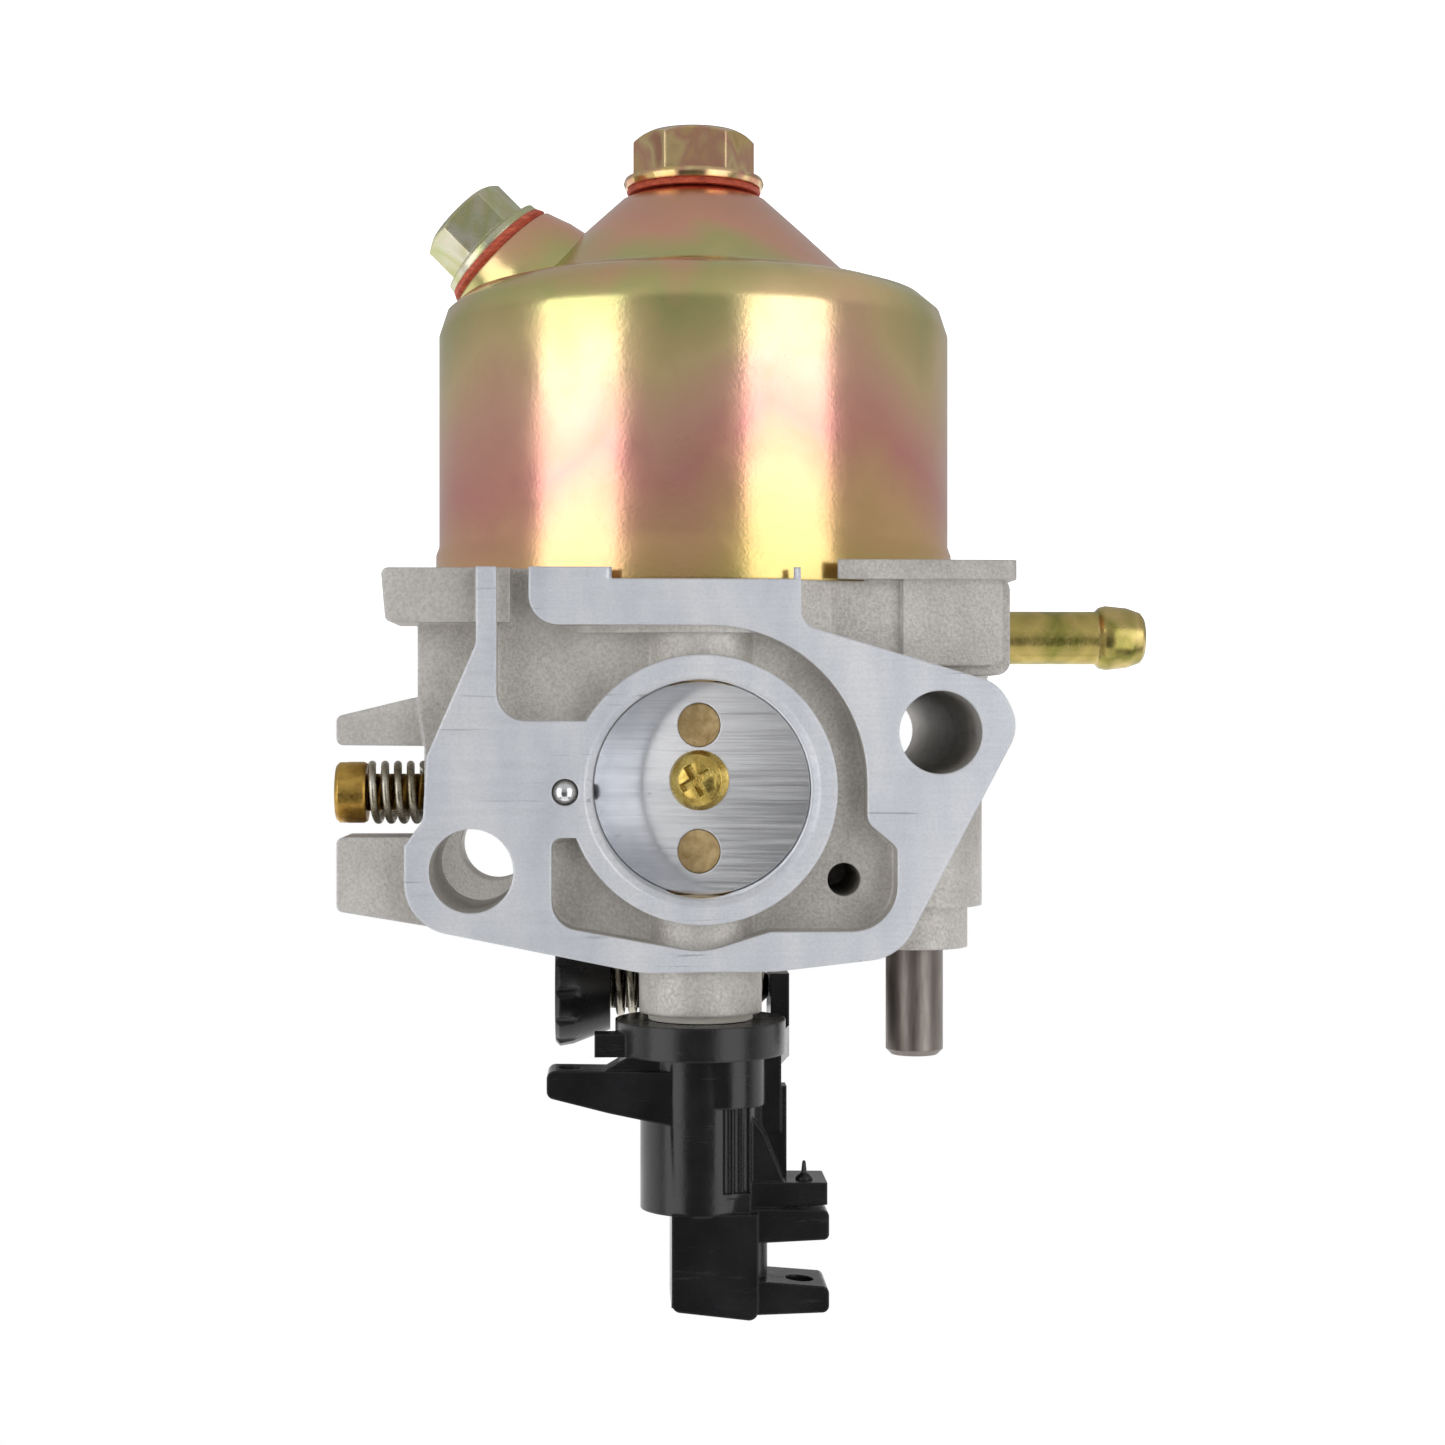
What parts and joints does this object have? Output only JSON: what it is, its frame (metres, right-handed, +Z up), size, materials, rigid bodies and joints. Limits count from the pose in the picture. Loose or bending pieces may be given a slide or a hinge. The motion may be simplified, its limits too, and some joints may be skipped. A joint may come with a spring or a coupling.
{
  "type": "carburetor",
  "caption": "Small-engine float-bowl carburetor: cast body, two-stud engine flange, throttle and choke butterflies, plated bowl, barbed fuel inlet and adjusting screws.",
  "frame": {"origin": "midpoint of the two stud holes, on the machined face of the engine flange", "axes": "+Z up in the working position with the float bowl below; -Y out of the engine flange along the air passage, so +Y points to the air cleaner; +X towards the mixture screw"},
  "size_m": [0.0753, 0.0607, 0.1076],
  "materials": {
    "cast_aluminium": "satin",
    "bright_aluminium": "bright rolled",
    "yellow_zinc_steel": "iridescent yellow zinc plate",
    "green_zinc_steel": "pale zinc plate",
    "grey_steel": "dull",
    "spring_steel": "bright wire",
    "brass": "turned",
    "black_plastic": "semi-gloss moulded",
    "white_plastic": "matte",
    "float_plastic": "matte",
    "black_rubber": "matte",
    "red_fibre": "pressed fibre"
  },
  "bodies": {
    "housing": {"carburetor_body": "cast_aluminium", "float_bowl": "yellow_zinc_steel", "bowl_gasket": "black_rubber", "bowl_bolt": "yellow_zinc_steel", "bowl_bolt_washer": "red_fibre", "drain_bolt": "green_zinc_steel", "drain_bolt_washer": "red_fibre", "float_hinge_pin": "spring_steel", "inlet_valve_seat": "brass", "main_jet": "brass", "emulsion_tube": "brass", "pilot_jet": "black_plastic", "throttle_shaft_washer": "white_plastic", "pilot_screw_spring": "spring_steel", "idle_speed_spring": "spring_steel", "fuel_inlet_spigot": "yellow_zinc_steel", "vent_pipe": "grey_steel", "passage_ball_plug": "bright_aluminium"},
    "throttle": {"throttle_shaft": "yellow_zinc_steel", "throttle_plate": "bright_aluminium", "throttle_plate_screw": "yellow_zinc_steel", "throttle_lever": "black_plastic"},
    "choke": {"choke_shaft": "yellow_zinc_steel", "choke_plate": "bright_aluminium", "choke_plate_screw_upper": "yellow_zinc_steel", "choke_plate_screw_lower": "yellow_zinc_steel", "choke_lever": "black_plastic"},
    "float_arm": {"float": "float_plastic"},
    "needle": {"inlet_needle": "bright_aluminium"},
    "mixture_screw": {"pilot_screw": "brass"},
    "idle_stop_screw": {"idle_speed_screw": "spring_steel", "idle_speed_knob": "black_plastic"}
  },
  "joints": [
    {"name": "throttle_turn", "type": "hinge", "parent": "housing", "child": "throttle", "pos_m": [0.00035, 0.006, 0], "axis": [0, 0, 1], "range_deg": [0, 73]},
    {"name": "choke_turn", "type": "hinge", "parent": "housing", "child": "choke", "pos_m": [0.00035, 0.0376, 0], "axis": [0, 0, 1], "range_deg": [-78, 0]},
    {"name": "float_swing", "type": "hinge", "parent": "housing", "child": "float_arm", "pos_m": [-0.0185, 0.0247, -0.0256], "axis": [0, 1, 0], "range_deg": [0, 10]},
    {"name": "needle_slide", "type": "slide", "parent": "housing", "child": "needle", "axis": [0, 0, -1], "range_m": [0, 0.0008]},
    {"name": "mixture_screw_turn", "type": "hinge", "parent": "housing", "child": "mixture_screw", "pos_m": [0.028, 0.008, -0.0006], "axis": [1, 0, 0], "continuous": true},
    {"name": "idle_screw_turn", "type": "hinge", "parent": "housing", "child": "idle_stop_screw", "pos_m": [0.008, 0.017, 0.0176], "axis": [1, 0, 0], "continuous": true}
  ],
  "couplings": [
    {"joint": "needle_slide", "follows": "float_swing", "m_per_rad": 0.0042}
  ]
}
